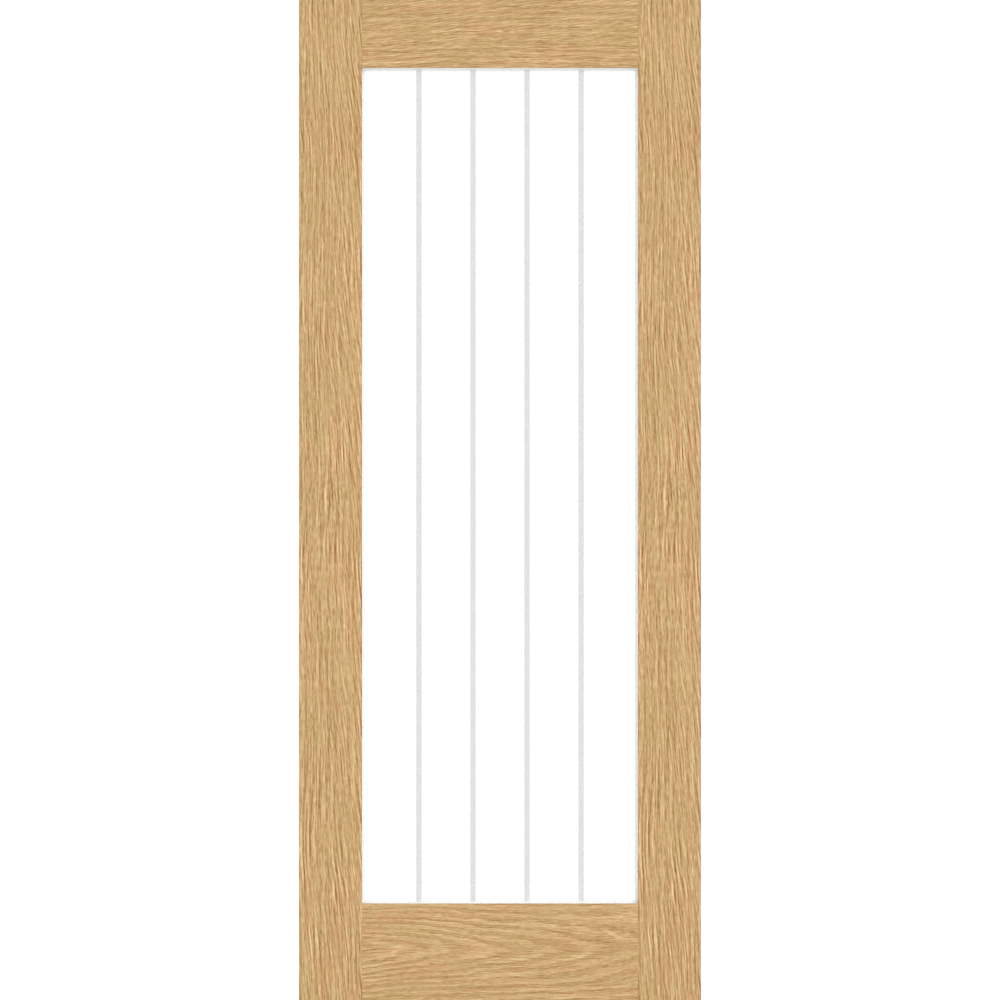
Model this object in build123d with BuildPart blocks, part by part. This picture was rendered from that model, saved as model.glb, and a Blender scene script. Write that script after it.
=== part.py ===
"""Glazed interior door leaf: an engineered oak frame round one pane of clear glass with etched lines.

Millimetres, +Z up. X runs across the leaf from the hinge edge, and Y runs through its thickness
from the rebated front (-Y) to the beaded back (+Y). The origin is on the hinge edge, at the foot
of the leaf, in the middle of its thickness.
"""

import os

from build123d import *

# Leaf
leaf_width = 813.0
leaf_height = 2032.0
leaf_thickness = 35.0
stile_width = 127.5
top_rail_width = 142.0
bottom_rail_width = 200.0
arris = 0.4  # sanded off the edges of the face veneers

# Layers of every stile and rail
veneer_thickness = 0.6
crossband_thickness = 3.0
edge_lipping_width = 8.0
glazing_lipping_width = 20.0

# Glazing
rebate_depth = 12.0  # from the sight line back into the frame
glass_thickness = 4.0
glass_edge_gap = 2.5  # between the pane's edge and the wall of the rebate
glass_arris = 0.5
seal_thickness = 1.0
seal_width = 9.0
seal_cove = 7.0  # leg of the tooled cove that shows beside the sight line
cove_hollow = 0.34  # share of each leg at which the hollow face crosses the bisector
bead_gap = 0.2  # between a bead and the wall of the rebate
bead_chamfer = 2.5

# Etched lines on the front of the pane
line_count = 4
line_width = 11.0
etch_depth = 0.2

# Worked out from the sizes above
half_leaf = leaf_thickness / 2
half_billet = half_leaf - veneer_thickness
half_core = half_billet - crossband_thickness
half_glass = glass_thickness / 2
half_bed = half_glass + seal_thickness
opening_width = leaf_width - 2 * stile_width
opening_height = leaf_height - top_rail_width - bottom_rail_width
opening_middle = (leaf_width / 2, bottom_rail_width + opening_height / 2)
line_pitch = (opening_width - line_width) / (line_count + 1)
arris_share = 0.8  # most of a layer that an arris may take
veneer_arris = min(arris, arris_share * veneer_thickness)
pane_arris = min(glass_arris, arris_share * half_glass)
perimeter_tolerance = 0.001


def save(piece, name):
    """Labels a finished piece and writes it as its own file."""
    piece.part.label = name
    export_step(piece.part, f"parts/{name}.step")


def opening_plane(y):
    """The plane of the glazed opening at depth y, centred on it, with X across and Y up the leaf."""
    across, up = opening_middle
    return Plane(origin=(across, y, up), x_dir=(1, 0, 0), z_dir=(0, -1, 0))


def rebate_outline():
    """Outline of the glazing rebate on the back of the leaf, which is sunk as far as the front seal."""
    with BuildSketch(opening_plane(half_leaf)) as outline:
        Rectangle(opening_width + 2 * rebate_depth, opening_height + 2 * rebate_depth)
    return outline.sketch


def sight_outline():
    """Outline of the opening at the inner end of the arris that is sanded round its front."""
    with BuildSketch(opening_plane(veneer_arris - half_leaf)) as outline:
        Rectangle(opening_width, opening_height)
    return outline.sketch


def on_perimeter(edge):
    """True for an edge that lies on the outline of the whole leaf."""
    middle = edge.center()
    distances = (middle.X, leaf_width - middle.X, middle.Z, leaf_height - middle.Z)
    return min(distances) < perimeter_tolerance


def section(plane, near, far, front, back):
    """Cross-section of one layer: near and far run in from the outer edge, front and back through the leaf."""
    with BuildSketch(plane) as layer:
        with Locations(((near + far) / 2, (front + back) / 2)):
            Rectangle(far - near, back - front)
    return layer.sketch


def core_span(width):
    """Where core and crossbands start and end across a stile or rail, between its two lippings."""
    return edge_lipping_width, width - glazing_lipping_width


def make_core(name, plane, width, length):
    """Softwood stave core, between the two lippings and the two crossbands."""
    with BuildPart() as core:
        extrude(section(plane, *core_span(width), -half_core, half_core), amount=length)
    save(core, f"{name}_core")


def make_crossband(name, plane, width, length, side, front, back):
    """Fibreboard band that evens out the core under one face veneer."""
    with BuildPart() as crossband:
        extrude(section(plane, *core_span(width), front, back), amount=length)
    save(crossband, f"{name}_{side}_crossband")


def make_edge_lipping(name, plane, length):
    """Solid oak strip along the outer edge."""
    with BuildPart() as lipping:
        extrude(section(plane, 0, edge_lipping_width, -half_billet, half_billet), amount=length)
    save(lipping, f"{name}_edge_lipping")


def make_glazing_lipping(name, plane, width, length):
    """Solid oak strip along the glazed edge, rebated from the back for the pane and its bead."""
    with BuildPart() as lipping:
        extrude(section(plane, width - glazing_lipping_width, width, -half_billet, half_billet), amount=length)
        extrude(rebate_outline(), amount=half_leaf + half_bed, mode=Mode.SUBTRACT)
    save(lipping, f"{name}_glazing_lipping")


def make_veneer(name, plane, width, length, side, front, back):
    """Oak face veneer over core and lippings, with its arrises sanded."""
    with BuildPart() as veneer:
        extrude(section(plane, 0, width, front, back), amount=length)
        if side == "back":
            extrude(rebate_outline(), amount=half_leaf + half_bed, mode=Mode.SUBTRACT)
        show_face = veneer.faces().sort_by(Axis.Y)[-1 if side == "back" else 0]
        chamfer(show_face.edges().filter_by(on_perimeter), veneer_arris)
        if side == "front":
            extrude(sight_outline(), amount=veneer_arris, taper=-45, mode=Mode.SUBTRACT)
    save(veneer, f"{name}_{side}_veneer")


def make_glass_pane():
    """Toughened pane with seamed edges and full-height etched lines sunk in its front."""
    pane_width = opening_width + 2 * (rebate_depth - glass_edge_gap)
    pane_height = opening_height + 2 * (rebate_depth - glass_edge_gap)
    with BuildPart() as pane:
        with BuildSketch(opening_plane(half_glass)):
            Rectangle(pane_width, pane_height)
        extrude(amount=glass_thickness)
        faces = pane.faces().sort_by(Axis.Y)
        chamfer(faces[0].edges() + faces[-1].edges(), pane_arris)
        with BuildSketch(opening_plane(etch_depth - half_glass)):
            with GridLocations(line_pitch, 0, line_count, 1):
                Rectangle(line_width, pane_height)
        extrude(amount=etch_depth, mode=Mode.SUBTRACT)
    save(pane, "glass_pane")


def make_glazing_seal(name, facing):
    """Sealant round the pane: a bed under the lip or bead, and a cove tooled on the glass at the sight line."""
    glass_face = opening_plane(facing * half_glass)
    top_middle = glass_face.from_local_coords((0, opening_height / 2, 0))
    hollow = cove_hollow * seal_cove
    with BuildPart() as seal:
        with BuildSketch(glass_face):
            Rectangle(opening_width + 2 * seal_width, opening_height + 2 * seal_width)
            Rectangle(opening_width, opening_height, mode=Mode.SUBTRACT)
        extrude(amount=-facing * seal_thickness)
        with BuildLine(glass_face) as sight_line:
            Polyline(
                (0, opening_height / 2),
                (opening_width / 2, opening_height / 2),
                (opening_width / 2, -opening_height / 2),
                (-opening_width / 2, -opening_height / 2),
                (-opening_width / 2, opening_height / 2),
                close=True,
            )
        with BuildSketch(Plane(top_middle, x_dir=(0, 0, -1), z_dir=(1, 0, 0))):
            with BuildLine():
                Polyline((0, facing * seal_cove), (0, 0), (seal_cove, 0))
                ThreePointArc((seal_cove, 0), (hollow, facing * hollow), (0, facing * seal_cove))
            make_face()
        sweep(path=sight_line.wires()[0], transition=Transition.RIGHT)
    save(seal, name)


def make_bead(name, turn, length, reach):
    """Oak bead with mitred ends, pinned into the back of the rebate. Turn swings it round the opening."""
    side = Plane(opening_plane(half_bed).location * Rot(Z=turn))
    outer = rebate_depth - bead_gap
    with BuildPart() as bead:
        with BuildSketch(side):
            with BuildLine():
                Polyline(
                    (-length / 2, reach),
                    (length / 2, reach),
                    (length / 2 + outer, reach + outer),
                    (-length / 2 - outer, reach + outer),
                    close=True,
                )
            make_face()
        extrude(amount=half_bed - half_leaf)
        sight_edge = side.from_local_coords(Vector(0, reach, half_bed - half_leaf))
        chamfer(bead.edges().sort_by_distance(sight_edge)[0], bead_chamfer)
    save(bead, name)


# Each stile or rail stands on a plane at one end: local X runs in from its outer edge, local Y to the
# back of the leaf, and it is extruded along local Z. The four follow each other round the leaf.
members = {
    "hinge_stile": (Plane((0, 0, 0), (1, 0, 0), (0, 0, 1)), stile_width, leaf_height),
    "top_rail": (Plane((stile_width, 0, leaf_height), (0, 0, -1), (1, 0, 0)), top_rail_width, opening_width),
    "lock_stile": (Plane((leaf_width, 0, leaf_height), (-1, 0, 0), (0, 0, -1)), stile_width, leaf_height),
    "bottom_rail": (
        Plane((leaf_width - stile_width, 0, 0), (0, 0, 1), (-1, 0, 0)),
        bottom_rail_width,
        opening_width,
    ),
}

# The beads follow each other round the opening by equal turns: each one's length, and how far from the
# middle of the opening it lies.
beads = {
    "top_bead": (opening_width, opening_height / 2),
    "hinge_side_bead": (opening_height, opening_width / 2),
    "bottom_bead": (opening_width, opening_height / 2),
    "lock_side_bead": (opening_height, opening_width / 2),
}

os.makedirs("parts", exist_ok=True)
for name, (plane, width, length) in members.items():
    make_core(name, plane, width, length)
    make_crossband(name, plane, width, length, "front", -half_billet, -half_core)
    make_crossband(name, plane, width, length, "back", half_core, half_billet)
    make_edge_lipping(name, plane, length)
    make_glazing_lipping(name, plane, width, length)
    make_veneer(name, plane, width, length, "front", -half_leaf, -half_billet)
    make_veneer(name, plane, width, length, "back", half_billet, half_leaf)

make_glass_pane()
make_glazing_seal("front_glazing_seal", -1)
make_glazing_seal("back_glazing_seal", 1)
for step, (name, (length, reach)) in enumerate(beads.items()):
    make_bead(name, 360 * step / len(beads), length, reach)
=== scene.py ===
"""Looks of a glazed interior door leaf: oak-faced stiles and rails round one clear pane with frosted lines.

Metres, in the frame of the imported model: X across the leaf from the hinge edge, Y through it to the
back, Z up. Grain is worked out in millimetres, because that is the scale of its pores and streaks.
"""

import math

import bpy
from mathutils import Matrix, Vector


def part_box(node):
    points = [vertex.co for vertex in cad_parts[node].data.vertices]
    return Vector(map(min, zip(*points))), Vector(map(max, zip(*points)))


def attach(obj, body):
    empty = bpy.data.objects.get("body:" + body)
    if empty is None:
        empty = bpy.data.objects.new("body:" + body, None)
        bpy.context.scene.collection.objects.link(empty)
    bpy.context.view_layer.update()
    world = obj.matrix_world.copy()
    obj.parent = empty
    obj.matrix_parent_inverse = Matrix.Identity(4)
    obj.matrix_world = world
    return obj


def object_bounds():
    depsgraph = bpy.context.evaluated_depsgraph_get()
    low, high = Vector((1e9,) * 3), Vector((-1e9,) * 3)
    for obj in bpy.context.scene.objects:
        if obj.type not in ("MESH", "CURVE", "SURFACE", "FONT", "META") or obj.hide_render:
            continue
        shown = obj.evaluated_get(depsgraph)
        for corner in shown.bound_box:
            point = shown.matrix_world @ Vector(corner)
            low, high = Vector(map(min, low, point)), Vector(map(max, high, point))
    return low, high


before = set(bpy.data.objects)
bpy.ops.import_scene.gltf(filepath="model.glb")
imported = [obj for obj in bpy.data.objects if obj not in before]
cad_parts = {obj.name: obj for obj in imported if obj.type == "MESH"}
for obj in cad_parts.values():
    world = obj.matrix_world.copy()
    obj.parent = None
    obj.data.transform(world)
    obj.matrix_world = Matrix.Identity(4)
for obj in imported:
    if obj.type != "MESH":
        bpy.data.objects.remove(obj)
cad_low, cad_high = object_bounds()

# Stave cores
# Each stile and rail is built up on a core of softwood staves, sawn square and glued side by side.
# It shows only on the ends of the stiles, at the head and foot of the leaf, as end grain.

MILLIMETRES = 1000.0
grain_axes = {"hinge_stile": "Z", "lock_stile": "Z", "top_rail": "X", "bottom_rail": "X"}
stave_width = 25.0
stave_ring_width = 2.6
late_wood = (0.25, 0.95)
heart_spread_staves = 1.4
heart_overhang_staves = 0.2
heart_depth = 60.0
heart_rise = 10.0
wobble_size = (9.0, 9.0, 90.0)
wobble_reach = 2.0
sawn_fibre_size = (0.6, 0.6, 14.0)
sawn_relief = 0.15
glue_line = (0.05, 0.25)
pine_light = (0.60, 0.41, 0.20)
pine_dark = (0.36, 0.20, 0.08)
glue_stain = (0.5, 0.4, 0.3)


class Output:
    """An output of a node. Sums and products of outputs add the Math nodes that they need."""

    def __init__(self, tree, socket):
        self.tree = tree
        self.socket = socket

    def node(self, kind, inputs, output=0, stops=(), **settings):
        """Adds a node: its settings and ramp stops first, then the values or links of its sockets."""
        made = self.tree.nodes.new(kind)
        for key, value in settings.items():
            setattr(made, key, value)
        if stops:
            elements = made.color_ramp.elements
            elements[0].position, elements[-1].position = stops[0][0], stops[-1][0]
            for middle, _ in stops[1:-1]:
                elements.new(middle)
            for element, (_, colour) in zip(elements, stops):
                element.color = (*colour, 1.0)
        for key, value in inputs.items():
            if isinstance(value, Output):
                self.tree.links.new(value.socket, made.inputs[key])
            else:
                made.inputs[key].default_value = value
        return Output(self.tree, made.outputs[output])

    def math(self, operation, *others):
        """A Math node on this value and any others."""
        return self.node("ShaderNodeMath", dict(enumerate((self, *others))), operation=operation)

    def __add__(self, other):
        return self.math("ADD", other)

    def __sub__(self, other):
        return self.math("SUBTRACT", other)

    def __mul__(self, other):
        return self.math("MULTIPLY", other)

    def __truediv__(self, other):
        return self.math("DIVIDE", other)

    def __neg__(self):
        return self * -1

    def __rsub__(self, other):
        return -self + other

    __radd__ = __add__
    __rmul__ = __mul__

    def step(self, low, high):
        """Rises smoothly from 0 at low to 1 at high."""
        limits = {"Value": self, "From Min": low, "From Max": high}
        return self.node("ShaderNodeMapRange", limits, interpolation_type="SMOOTHSTEP")

    def ramp(self, *stops):
        """Turns a value into a colour by a ramp of (place, colour) stops."""
        return self.node("ShaderNodeValToRGB", {"Fac": self}, stops=stops)

    def tint(self, amount, colour):
        """This colour, multiplied by another as far as amount says."""
        inputs = {0: amount, 6: self, 7: (*colour, 1.0)}
        return self.node("ShaderNodeMix", inputs, output=2, data_type="RGBA", blend_type="MULTIPLY")


def blank_finish(name):
    """A new material: itself, its surface shader, and the place on the piece in millimetres by axis."""
    material = bpy.data.materials.new(name)
    material.use_nodes = True
    tree = material.node_tree
    place = Output(tree, tree.nodes.new("ShaderNodeTexCoord").outputs["Object"])
    axes = {}
    for output, axis in enumerate("XYZ"):
        metres = place.node("ShaderNodeSeparateXYZ", {"Vector": place}, output)
        axes[axis] = metres * MILLIMETRES
    return material, tree.nodes["Principled BSDF"], axes


def feed(surface, **links):
    """Links outputs to the surface shader's sockets, whose spaces are written as underscores."""
    for name, output in links.items():
        output.tree.links.new(output.socket, surface.inputs[name.replace("_", " ")])


def noise(across, depth, along, size, detail=1.0):
    """Soft noise about zero, in blotches of a size in millimetres across, through and along a piece."""
    place = {"X": across / size[0], "Y": depth / size[1], "Z": along / size[2]}
    point = across.node("ShaderNodeCombineXYZ", place)
    inputs = {"Vector": point, "Scale": 1.0, "Detail": detail}
    return point.node("ShaderNodeTexNoise", inputs) - 0.5


def mottle(axes, size, detail=1.0):
    """Soft noise about zero, in blotches of a size in millimetres on the three axes."""
    return noise(axes["X"], axes["Y"], axes["Z"], size, detail)


def speckle(axes, size, detail=2.0):
    """Soft noise about zero, in round specks of one size in millimetres."""
    return mottle(axes, (size, size, size), detail)


def bump(height, depth):
    """A normal that follows a height from 0 to 1, which is depth millimetres at the most."""
    inputs = {"Height": height, "Strength": 1.0, "Distance": depth / MILLIMETRES}
    return height.node("ShaderNodeBump", inputs)


def finish_node(node, material):
    """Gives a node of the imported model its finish."""
    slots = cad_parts[node].data.materials
    slots.clear()
    slots.append(material)


def stave_finish(name, along, across):
    """Sawn softwood in glued staves that run along one axis and lie side by side on another."""
    material, surface, axes = blank_finish(name)
    stave = (axes[across] / stave_width).math("FLOOR")
    lot = stave.node("ShaderNodeTexWhiteNoise", {"W": stave}, noise_dimensions="1D")
    sideways = axes[across] - (stave + lot * heart_spread_staves - heart_overhang_staves) * stave_width
    upright = axes["Y"] + lot * heart_depth - heart_rise
    wobble = noise(axes[across], axes["Y"], axes[along], wobble_size) * wobble_reach
    reach = (sideways * sideways + upright * upright).math("SQRT") + wobble
    late = (reach / stave_ring_width).math("FRACT").step(*late_wood)
    fibre = noise(axes[across], axes["Y"], axes[along], sawn_fibre_size)
    glue = 1 - axes[across].math("PINGPONG", stave_width / 2).step(*glue_line)
    colour = (late * 0.75 + fibre * 0.5).ramp((0.0, pine_light), (1.0, pine_dark))
    feed(surface, Base_Color=colour.tint(glue * 0.7, glue_stain))
    feed(surface, Roughness=0.78 + fibre * 0.2, Normal=bump(fibre + 0.5, sawn_relief))
    return material


staves = {
    "Z": stave_finish("upright_staves", along="Z", across="X"),
    "X": stave_finish("level_staves", along="X", across="Z"),
}
for member, along in grain_axes.items():
    finish_node(f"{member}_core", staves[along])

# Crossbands
# A thin fibreboard band is pressed on each side of the core to even it out under the veneer.
# Its cut ends show brown between veneer and core at the head and foot of the stiles.

fibreboard_brown = (0.30, 0.19, 0.095)
fibreboard_pale = (0.44, 0.30, 0.17)
flock_size = (0.7, 0.35, 0.7)
clump_size = (4.0, 2.0, 4.0)
flock_relief = 0.1

fibreboard, surface, axes = blank_finish("fibreboard")
flock = mottle(axes, flock_size, 3.0)
clump = mottle(axes, clump_size)
board = (0.5 + flock * 1.2 + clump * 0.5).ramp((0.1, fibreboard_brown), (0.9, fibreboard_pale))
feed(surface, Base_Color=board, Roughness=0.85 + flock * 0.2, Normal=bump(flock + 0.5, flock_relief))
for member in grain_axes:
    for side in ("front", "back"):
        finish_node(f"{member}_{side}_crossband", fibreboard)

# Edge lippings
# A strip of solid oak is glued along the outer edge of each stile and rail, and planed flush.
# The long edges of the leaf show its straight grain, and the ends show its rings.

oak_colours = (
    (0.0, (0.234, 0.100, 0.018)),
    (0.25, (0.328, 0.179, 0.052)),
    (0.5, (0.440, 0.271, 0.109)),
    (0.75, (0.555, 0.376, 0.183)),
    (1.0, (0.682, 0.493, 0.268)),
)
pink_cast = (1.055, 0.955, 0.93)
olive_cast = (0.96, 1.02, 0.90)
pore_stain = (0.48, 0.38, 0.27)
drift_size = (150.0, 150.0, 420.0)
drift_reach = 30.0
sway_size = (60.0, 60.0, 170.0)
sway_reach = 7.0
zone_size = (40.0, 60.0, 130.0)
broad_size = (26.0, 60.0, 170.0)
patch_size = (34.0, 40.0, 140.0)
hue_size = (4.5, 20.0, 36.0)
uneven_size = (30.0, 60.0, 90.0)
streak_size = (3.1, 3.1, 60.0)
short_streak_size = (2.4, 2.4, 24.0)
fray_size = (2.0, 2.0, 30.0)
fibre_size = (1.3, 1.3, 13.0)
ray_size = (2.4, 0.8, 10.0)
hair_size = (0.35, 0.35, 7.0)
pore_size = (0.4, 0.4, 6.0)
oak_relief = 0.12
arch_shoulder = (20.0, 95.0)
arch_crown = (0.0, 50.0)
arching_streaks = (8.0, 36.0)
seed_step = 37.0
solid_depth = 0.2


def oak_streaks(flow, depth, length, strength):
    """Light and dark streaks that lie beside each other along the grain, with shorter fibres over them."""
    beside = streak_size[0] / 2
    light_side = noise(flow + beside, depth, length, streak_size)
    dark_side = noise(flow - beside, depth, length, streak_size)
    short = noise(flow, depth, length, short_streak_size)
    fibre = noise(flow, depth, length, fibre_size, 3.0)
    return (light_side - dark_side) * strength * 0.8 + short * 0.55 + fibre


def give_way(first, second, share):
    """One pattern of streaks that gives way to another as share goes from 0 to 1, as strong all the way."""
    return first * (1 - share).math("SQRT") + second * share.math("SQRT")


def grain_place(node, along, axes):
    """Places along a node's grain from its middle, and across it from its low side, and the node's width."""
    low, high = (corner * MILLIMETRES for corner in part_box(node))
    across = "X" if along == "Z" else "Z"
    on, over = "XYZ".index(along), "XYZ".index(across)
    return axes[along] - (low[on] + high[on]) / 2, axes[across] - low[over], high[over] - low[over]


def dress_in_oak(
    node,
    along,
    seed,
    pith,
    ring_width=14.0,
    ring_strength=0.06,
    arch=0.0,
    lean=(0.0, 0.0),
    fineness=1.0,
    boldness=1.0,
    contrast=1.0,
    paleness=0.51,
    solid=False,
    shade_and_stain=None,
):
    """Gives a node satin-lacquered oak: rings about a pith line, with streaks, pores and rays along it.

    Pith is how far across and behind the node's low corner the heart of the tree lay, and arch opens
    the rings about it into arches. Lean is the slope of the streaks at the node's low and high side,
    fineness how narrow they are, and boldness the weight of the longest. Contrast is how far the figure
    stands out, and paleness how light the wood is as a whole. The streaks of solid wood follow its
    rings, so that its end grain shows them too. The function given last has the last word on the colour:
    on the veneers it paints a little shade along the arrises and stains the joints darker.
    """
    material, surface, axes = blank_finish(node)
    length, across, width = grain_place(node, along, axes)
    depth = axes["Y"] + seed * seed_step
    drift = noise(across, depth, length, drift_size, 0.0) * drift_reach
    sway = noise(across, depth, length, sway_size, 0.0) * sway_reach
    wander = across + drift + sway
    beside = wander - pith[0]
    behind = axes["Y"] + pith[1]
    reach = (beside * beside + behind * behind).math("SQRT")
    line = reach if solid else wander
    depth = depth * solid_depth if solid else depth
    zone = noise(across, depth, length, zone_size) * 2.2 + 1
    strength = zone * boldness

    def streaks_along(flow):
        return oak_streaks(flow * fineness, depth * fineness, length, strength)

    flow = line + length * lean[0]
    streaks = streaks_along(flow)
    if lean[1] != lean[0]:
        leaning = streaks_along(line + length * lean[1])
        streaks = give_way(streaks, leaning, (across / width).step(0.25, 0.75))
    if arch:
        aside = beside.math("ABSOLUTE")
        opening = 1 - aside.step(*arch_shoulder) * 0.7 - beside.step(*arch_crown) * 0.3
        reach = reach + length * opening * arch
        arching = streaks_along(reach)
        streaks = give_way(streaks, arching, aside.step(*arching_streaks) * 0.6)

    fray = noise(flow, depth, length, fray_size) * 0.7
    ring = reach / ring_width + noise(across, depth, length, uneven_size) * 0.8 + fray
    season = ring.math("FRACT")
    early = 1 - season.step(0.0, 0.5)
    growth = (season.step(0.2, 0.85) - season.step(0.85, 1.0)) * 2 - 1
    broad = noise(flow, depth, length, broad_size)
    hair = noise(flow, depth, length, hair_size, 2.0)
    patch = noise(flow, depth, length, patch_size)
    hue = noise(flow, depth, length, hue_size, 2.0) + patch * 0.7 + 0.5
    pore = noise(flow, axes["Y"], length, pore_size, 0.0).step(0.08, 0.2) * (early * 0.75 + 0.25)
    ray = noise(flow, depth, length, ray_size, 0.0).step(0.2, 0.32)

    figure = (streaks + growth * ring_strength * zone) * contrast
    colour = (figure + broad * 0.25 + hair * 0.18 + ray * 0.04 + paleness).ramp(*oak_colours)
    colour = colour.tint(hue.step(0.5, 0.75), pink_cast)
    colour = colour.tint(hue.step(0.5, 0.25), olive_cast)
    colour = colour.tint(pore * 0.6, pore_stain)
    if shade_and_stain:
        colour = shade_and_stain(colour, axes, node)
    feed(surface, Base_Color=colour, Roughness=0.42 + pore * 0.2 - streaks * 0.06)
    feed(surface, Normal=bump(0.6 + streaks * 0.24 - pore * 0.5, oak_relief))
    finish_node(node, material)


for seed, (member, along) in enumerate(grain_axes.items(), start=11):
    dress_in_oak(f"{member}_edge_lipping", along, seed, pith=(60.0, 80.0), lean=(0.004, 0.004), solid=True)

# Glazing lippings
# A wider strip of the same oak lines the opening, rebated from the back so that its front is left as
# a lip for the glass to bear on. What shows is the reveal of the lip, in front of the seal.

for seed, (member, along) in enumerate(grain_axes.items(), start=21):
    dress_in_oak(f"{member}_glazing_lipping", along, seed, pith=(-50.0, 70.0), solid=True)

# Face veneers
# Crown-cut oak leaves are pressed over core and lippings, sanded, and sealed with a satin lacquer.
# The stiles are slip-matched, so both show the same streaks; the bottom rail carries gentle arches.

stile_figure = {"pith": (-150.0, 60.0), "lean": (0.02, 0.1), "contrast": 1.07}
top_rail_figure = {
    "pith": (420.0, 100.0),
    "lean": (-0.03, -0.14),
    "fineness": 1.6,
    "boldness": 0.7,
    "contrast": 1.15,
}
bottom_rail_figure = {
    "pith": (108.0, 30.0),
    "ring_width": 15.0,
    "ring_strength": 0.095,
    "fineness": 1.6,
    "arch": 0.15,
    "boldness": 0.6,
    "contrast": 1.1,
    "paleness": 0.55,
}
figures = {
    "hinge_stile": (1, stile_figure),
    "lock_stile": (1, stile_figure),
    "top_rail": (2, top_rail_figure),
    "bottom_rail": (3, bottom_rail_figure),
}
back_seeds = 4
arris_mm = 1.8
# The colour of a painted shade along the arrises of the leaf and the opening, standing in for the shade on
# the edges.
arris_shade = (0.78, 0.76, 0.74)
joint_mm = 0.35
joint_stain = (0.45, 0.38, 0.30)
sight_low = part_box("hinge_side_bead")[1].x
sight_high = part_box("lock_side_bead")[0].x
sight_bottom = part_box("bottom_bead")[1].z
sight_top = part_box("top_bead")[0].z


def outside(place, low, high):
    """How far a place lies outside a span along one axis, or less than nothing inside it, in millimetres."""
    return (low * MILLIMETRES - place).math("MAXIMUM", place - high * MILLIMETRES)


def outside_opening(axes):
    """How far a place lies outside the sight lines, or less than nothing inside them, in millimetres."""
    over = outside(axes["Z"], sight_bottom, sight_top)
    return over.math("MAXIMUM", outside(axes["X"], sight_low, sight_high))


def shade_arrises_and_stain_joints(colour, axes, node):
    """Paints a little shade into a veneer along the arrises of the leaf and the opening, and darkens it at
    its joints.
    """
    from_ends = -outside(axes["Z"], cad_low.z, cad_high.z)
    from_outline = from_ends.math("MINIMUM", -outside(axes["X"], cad_low.x, cad_high.x))
    # Painted shade: a darker band, arris_mm wide, along the leaf's outline and the sight lines.
    arris = 1 - from_outline.math("MINIMUM", outside_opening(axes)).step(0.0, arris_mm)
    low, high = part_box(node)
    joint = 1 - (-outside(axes["X"], low.x, high.x)).step(0.0, joint_mm)
    return colour.tint(arris * 0.75, arris_shade).tint(joint * 0.6, joint_stain)


for member, (seed, figure) in figures.items():
    along = grain_axes[member]
    dress_in_oak(f"{member}_front_veneer", along, seed, shade_and_stain=shade_arrises_and_stain_joints, **figure)
    dress_in_oak(f"{member}_back_veneer", along, seed + back_seeds, shade_and_stain=shade_arrises_and_stain_joints, **figure)

# Glass pane
# One sheet of clear toughened float glass with ground edges, held between two beds of silicone. It is
# all but colourless, lets lamp light straight through, and bears only the faint drift of its oven.

glass_tint = (0.985, 0.995, 0.99, 1.0)
glass_ior = 1.5
oven_drift_size = (90.0, 90.0, 140.0)
oven_drift_roughness = 0.015

clear_glass, surface, axes = blank_finish("float_glass")
oven_drift = mottle(axes, oven_drift_size, 2.0)
surface.inputs["Base Color"].default_value = glass_tint
surface.inputs["IOR"].default_value = glass_ior
surface.inputs["Transmission Weight"].default_value = 1.0
feed(surface, Roughness=(oven_drift + 0.5).step(0.45, 0.9) * oven_drift_roughness)
polished = Output(clear_glass.node_tree, surface.outputs["BSDF"])
see_through = polished.node("ShaderNodeBsdfTransparent", {"Color": glass_tint})
from_lamp = polished.node("ShaderNodeLightPath", {}, "Is Shadow Ray")
pane = polished.node("ShaderNodeMixShader", {0: from_lamp, 1: polished, 2: see_through})
outlet = clear_glass.node_tree.nodes["Material Output"]
clear_glass.node_tree.links.new(pane.socket, outlet.inputs["Surface"])
finish_node("glass_pane", clear_glass)

# Frosted lines
# Four thin upright lines are etched into the front of the pane over its whole height.
# Each is a fine matt tooth in a shallow groove, which lets most light through and looks grey on white.

line_count = 4
line_width = 0.011
etch_depth = 0.0002
etch_clearance = 0.00002
frost_shade = (0.388, 0.388, 0.383)
frost_light = (0.412, 0.412, 0.407)
frost_cover = 0.295
tooth_size = 0.25
tooth_relief = 0.02
cloud_size = (8.0, 8.0, 60.0)

frosted, surface, axes = blank_finish("frosted_glass")
tooth = speckle(axes, tooth_size)
cloud = mottle(axes, cloud_size)
frost = (0.5 + tooth * 0.4 + cloud * 0.3).ramp((0.2, frost_shade), (0.8, frost_light))
feed(surface, Base_Color=frost, Roughness=0.75 + tooth * 0.2, Normal=bump(tooth + 0.5, tooth_relief))
feed(surface, Alpha=frost_cover + cloud * 0.02)


def piece_tree(name, inputs):
    """A Geometry Nodes tree with named inputs, given as the kind of each, and their outputs by name."""
    tree = bpy.data.node_groups.new(name, "GeometryNodeTree")
    tree.interface.new_socket("Geometry", in_out="OUTPUT", socket_type="NodeSocketGeometry")
    for label, kind in inputs.items():
        tree.interface.new_socket(label, in_out="INPUT", socket_type=f"NodeSocket{kind}")
    given = tree.nodes.new("NodeGroupInput")
    return tree, {label: Output(tree, given.outputs[label]) for label in inputs}


def end_tree(tree, copies, finish):
    """Ends a tree: real copies take the place of instances, and get their finish."""
    solid = copies.node("GeometryNodeRealizeInstances", {"Geometry": copies})
    dressed = solid.node("GeometryNodeSetMaterial", {"Geometry": solid, "Material": finish})
    tree.links.new(dressed.socket, tree.nodes.new("NodeGroupOutput").inputs["Geometry"])


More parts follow.
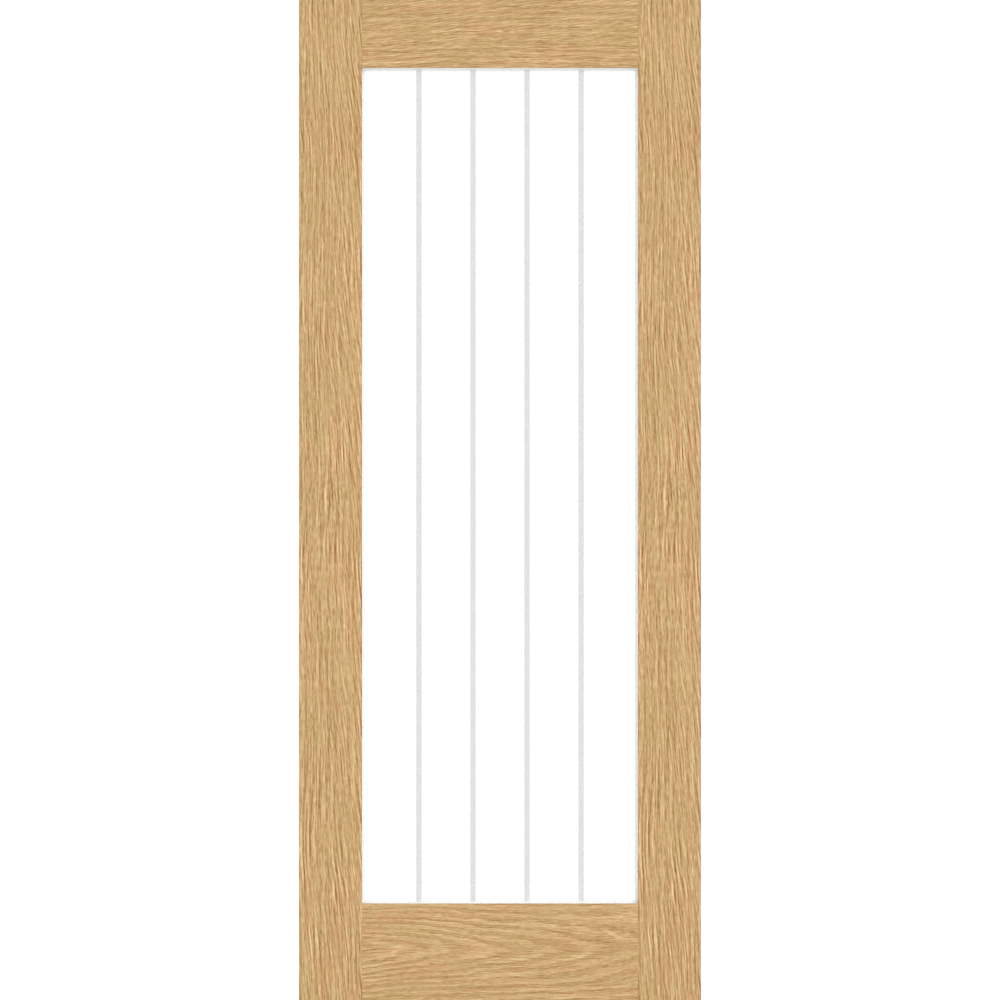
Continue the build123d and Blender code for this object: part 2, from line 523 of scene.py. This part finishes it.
def grow(name, tree, values, mesh=None):
    """Runs a tree on a new object, keeps its result as a plain mesh, and lets the piece ride on the leaf."""
    piece = bpy.data.objects.new(name, mesh or bpy.data.meshes.new(name))
    bpy.context.scene.collection.objects.link(piece)
    modifier = piece.modifiers.new(name, "NODES")
    modifier.node_group = tree
    for item in tree.interface.items_tree:
        if item.name in values:
            modifier[item.identifier] = values[item.name]
    evaluated = piece.evaluated_get(bpy.context.evaluated_depsgraph_get())
    made = bpy.data.meshes.new_from_object(evaluated)
    piece.modifiers.clear()
    piece.data = made
    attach(piece, "root")
    return piece


tree, given = piece_tree(
    "frosted_line_rows",
    {
        "Count": "Int",
        "Pitch": "Vector",
        "First Line": "Vector",
        "Strip Size": "Vector",
        "Finish": "Material",
    },
)
places = {"Count": given["Count"], "Start Location": given["First Line"], "Offset": given["Pitch"]}
row = given["Count"].node("GeometryNodeMeshLine", places)
strip = row.node("GeometryNodeMeshCube", {"Size": given["Strip Size"]})
lines = row.node("GeometryNodeInstanceOnPoints", {"Points": row, "Instance": strip})
end_tree(tree, lines, given["Finish"])

pane_low, pane_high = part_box("glass_pane")
line_pitch = (sight_high - sight_low - line_width) / (line_count + 1)
strip_size = (
    line_width - 2 * etch_clearance,
    etch_depth - 2 * etch_clearance,
    pane_high.z - pane_low.z - 2 * etch_clearance,
)
first_line = (
    (sight_low + sight_high - (line_count - 1) * line_pitch) / 2,
    pane_low.y + etch_depth / 2,
    (pane_low.z + pane_high.z) / 2,
)
frosted_lines = grow(
    "frosted_lines",
    tree,
    {
        "Count": line_count,
        "Pitch": (line_pitch, 0.0, 0.0),
        "First Line": first_line,
        "Strip Size": strip_size,
        "Finish": frosted,
    },
)

# Glazing seals
# Silicone beds the pane on both sides and is tooled to a small cove at the sight line. It is milky
# where it is thick, clears as it thins out to nothing on the glass, and shows on its free face only.

silicone_pale = (0.86, 0.86, 0.855)
silicone_milky = (0.81, 0.81, 0.80)
thin_milkiness = {"front": 0.6, "back": 0.28}
thick_milkiness = 0.95
thin_to_thick_mm = (1.5, 4.0)
feather_mm = (4.0, 8.5)
off_glass_mm = (0.0, 0.1)
off_wood_mm = (0.01, 0.05)
half_pane_mm = pane_high.y * MILLIMETRES
ripple_size = (14.0, 5.0, 14.0)
dust_size = 0.8
tooling_relief = 0.04

for side, thin in thin_milkiness.items():
    silicone, surface, axes = blank_finish(f"{side}_silicone")
    ripple = mottle(axes, ripple_size)
    dust = speckle(axes, dust_size)
    skin = (0.5 + ripple * 0.8 + dust * 0.3).ramp((0.1, silicone_milky), (0.9, silicone_pale))
    inside = -outside_opening(axes)
    height = axes["Y"].math("ABSOLUTE") - half_pane_mm
    milkiness = thin + height.step(*thin_to_thick_mm) * (thick_milkiness - thin)
    free_face = height.step(*off_glass_mm) * inside.step(*off_wood_mm)
    feed(surface, Base_Color=skin, Roughness=0.45 + dust * 0.2)
    feed(surface, Normal=bump(ripple * 0.2 + dust * 0.1 + 0.5, tooling_relief))
    feed(surface, Alpha=milkiness * (1 - inside.step(*feather_mm)) * free_face)
    finish_node(f"{side}_glazing_seal", silicone)

# Glazing beads
# Four strips of solid oak, chamfered along the glass and mitred at the corners, close the rebate
# from the back and press the pane against the lip.

bead_axes = {"top_bead": "X", "bottom_bead": "X", "hinge_side_bead": "Z", "lock_side_bead": "Z"}
for seed, (bead, along) in enumerate(bead_axes.items(), start=31):
    dress_in_oak(bead, along, seed, pith=(160.0, 40.0), lean=(0.005, 0.005), solid=True)

# Bead pins
# Fine steel pins hold each bead. They are punched just below the face and the holes stopped with
# brown filler, which dries to a low dome.

pin_radius = 0.0011
pin_dome = 0.00012
pin_spacing = 0.18
pin_from_sight_line = 0.0072
pin_from_mitre = 0.045
pin_sides = 14
pin_rings = 8
filler_brown = (0.24, 0.13, 0.055)
filler_pale = (0.36, 0.21, 0.10)
grit_size = 0.3
grit_relief = 0.05

filler, surface, axes = blank_finish("pin_filler")
grit = speckle(axes, grit_size)
paste = (grit * 1.4 + 0.5).ramp((0.1, filler_brown), (0.9, filler_pale))
feed(surface, Base_Color=paste, Roughness=0.7 + grit * 0.2, Normal=bump(grit + 0.5, grit_relief))

tree, given = piece_tree(
    "bead_pin_rows",
    {"Rows": "Geometry", "Spacing": "Float", "Radius": "Float", "Dome": "Vector", "Finish": "Material"},
)
routes = given["Rows"].node("GeometryNodeMeshToCurve", {"Mesh": given["Rows"]})
along_rows = {"Curve": routes, "Length": given["Spacing"]}
spots = routes.node("GeometryNodeResampleCurve", along_rows, mode="LENGTH")
ball = {"Segments": pin_sides, "Rings": pin_rings, "Radius": given["Radius"]}
head = spots.node("GeometryNodeMeshUVSphere", ball)
domes = {"Points": spots, "Instance": head, "Scale": given["Dome"]}
end_tree(tree, head.node("GeometryNodeInstanceOnPoints", domes), given["Finish"])

bead_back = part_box("top_bead")[1].y
pin_left, pin_right = sight_low + pin_from_mitre, sight_high - pin_from_mitre
pin_bottom, pin_top = sight_bottom + pin_from_mitre, sight_top - pin_from_mitre
row_ends = []
for level in (sight_bottom - pin_from_sight_line, sight_top + pin_from_sight_line):
    row_ends += [(pin_left, bead_back, level), (pin_right, bead_back, level)]
for upright in (sight_low - pin_from_sight_line, sight_high + pin_from_sight_line):
    row_ends += [(upright, bead_back, pin_bottom), (upright, bead_back, pin_top)]
pin_rows = bpy.data.meshes.new("pin_rows")
pin_rows.from_pydata(row_ends, [(end, end + 1) for end in range(0, len(row_ends), 2)], [])
bead_pins = grow(
    "bead_pins",
    tree,
    {
        "Spacing": pin_spacing,
        "Radius": pin_radius,
        "Dome": (1.0, pin_dome / pin_radius, 1.0),
        "Finish": filler,
    },
    pin_rows,
)

# Studio
# A white room: pale floor, even light from all round, and a soft key light from the upper right in
# front, which puts the head and right side of the opening in a little shade.

floor_half = 6.0
floor_drop = 0.0005
floor_glow = 0.6
floor_grey = (0.36, 0.36, 0.355)
floor_pale = (0.367, 0.367, 0.362)
floor_fleck = 3.0
floor_roughness = 0.9
room_white = (1.0, 1.0, 1.0, 1.0)
room_strength = 1.06
key_from = Vector((0.55, -1.0, 0.55))
key_strength = 1.11
key_softness = math.radians(18)
back_from = Vector((-0.5, 0.9, 0.8))
back_strength = 0.9
back_softness = math.radians(30)

floor_level = cad_low.z - floor_drop
corners = [(x * floor_half, y * floor_half, floor_level) for x, y in ((-1, -1), (1, -1), (1, 1), (-1, 1))]
floor_mesh = bpy.data.meshes.new("floor")
floor_mesh.from_pydata(corners, [], [(0, 1, 2, 3)])
floor = bpy.data.objects.new("floor", floor_mesh)
bpy.context.scene.collection.objects.link(floor)
floor_finish, surface, axes = blank_finish("floor_finish")
feed(surface, Base_Color=(speckle(axes, floor_fleck) + 0.5).ramp((0.0, floor_grey), (1.0, floor_pale)))
surface.inputs["Roughness"].default_value = floor_roughness
surface.inputs["Specular IOR Level"].default_value = 0.0
surface.inputs["Emission Color"].default_value = room_white
surface.inputs["Emission Strength"].default_value = floor_glow
floor_mesh.materials.append(floor_finish)

room = bpy.data.worlds.new("room")
room.use_nodes = True
room.node_tree.nodes["Background"].inputs["Color"].default_value = room_white
room.node_tree.nodes["Background"].inputs["Strength"].default_value = room_strength
bpy.context.scene.world = room


def add_sun(name, source, strength, softness):
    """A distant soft light that shines from a direction."""
    light = bpy.data.lights.new(name, "SUN")
    light.energy = strength
    light.angle = softness
    lamp = bpy.data.objects.new(name, light)
    lamp.rotation_euler = (-source).to_track_quat("-Z", "Y").to_euler()
    bpy.context.scene.collection.objects.link(lamp)


add_sun("key_light", key_from, key_strength, key_softness)
add_sun("back_light", back_from, back_strength, back_softness)

# Camera
# A long lens square on to the front of the leaf, at half its height. The picture is framed by the
# leaf's width, so that its head and foot just run off the top and bottom.

picture_width_px = 1000.0
leaf_left_px = 298.97
leaf_right_px = 701.01
camera_lens_mm = 350.0

camera_data = bpy.data.cameras.new("camera")
camera_data.lens = camera_lens_mm
camera = bpy.data.objects.new("camera", camera_data)
picture_width = picture_width_px * (cad_high.x - cad_low.x) / (leaf_right_px - leaf_left_px)
leaf_middle = (cad_low + cad_high) / 2
distance = picture_width * camera_lens_mm / camera_data.sensor_width
camera.location = (leaf_middle.x, cad_low.y - distance, leaf_middle.z)
camera.rotation_euler = (math.radians(90), 0.0, 0.0)
bpy.context.scene.collection.objects.link(camera)
bpy.context.scene.camera = camera
bpy.context.scene.view_settings.view_transform = "Standard"
